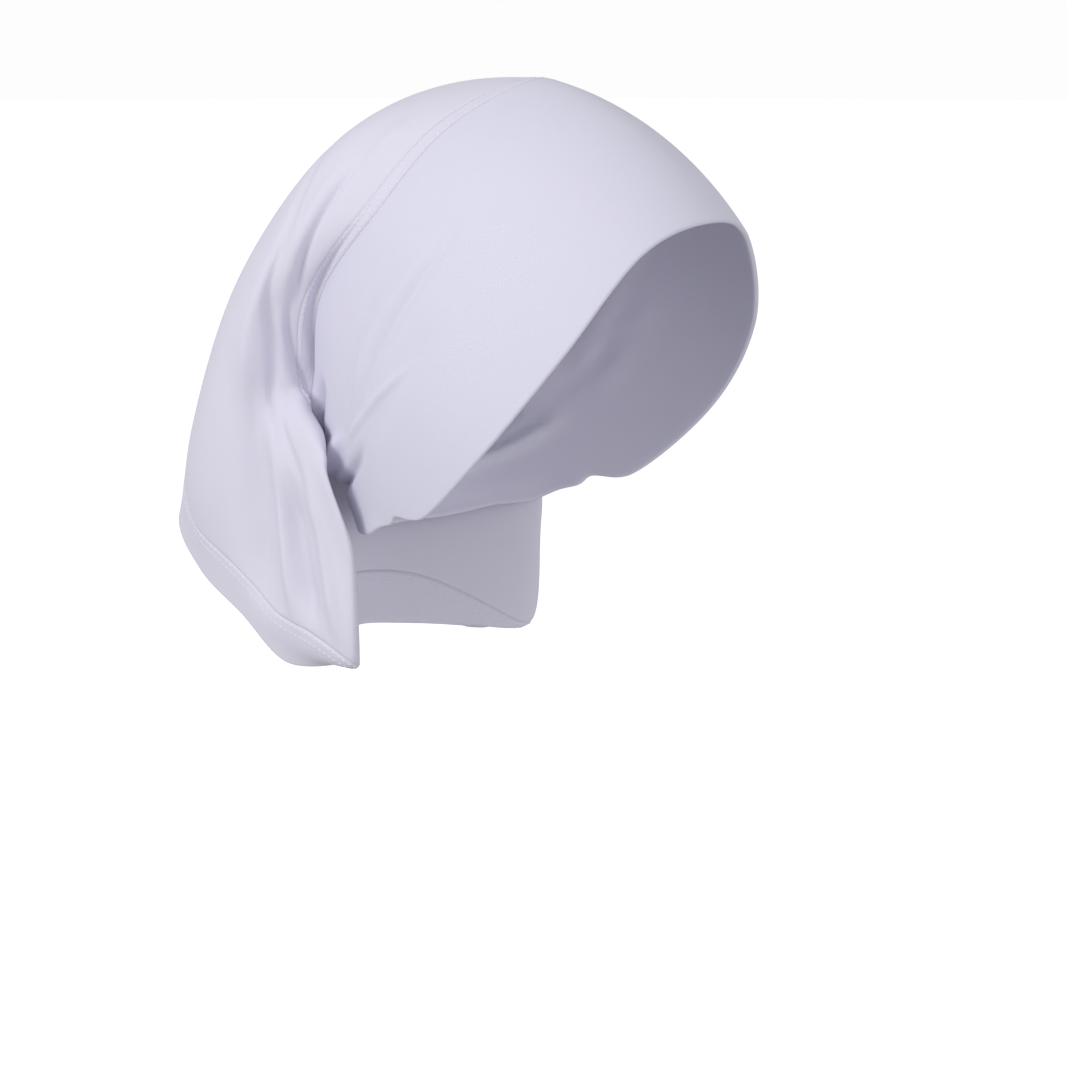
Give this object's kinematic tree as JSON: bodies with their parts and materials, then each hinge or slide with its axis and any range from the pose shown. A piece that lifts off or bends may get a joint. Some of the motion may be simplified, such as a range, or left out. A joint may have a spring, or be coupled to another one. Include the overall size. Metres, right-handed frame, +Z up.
{
  "type": "hijab underscarf cap",
  "caption": "Stretch jersey underscarf cap: a smooth double front band round the face, a crown seam and a loose tube-shaped back bag ending in a turned hem.",
  "frame": {"origin": "on the inside of the cloth at the top of the crown, where the cap sits on the head", "axes": "+Z up, the face opening towards -Y, the back bag towards +Y, the wearer's right at -X"},
  "size_m": [0.143, 0.251, 0.2297],
  "materials": {
    "band_jersey": "matt fine jersey, two layers",
    "seam_jersey": "matt fine jersey, stitched",
    "bag_jersey": "matt fine jersey, one layer",
    "hem_jersey": "matt fine jersey, turned and stitched"
  },
  "bodies": {
    "root": {"front_band": "band_jersey", "crown_seam": "seam_jersey", "back_bag": "bag_jersey", "rear_hem": "hem_jersey"}
  },
  "joints": []
}
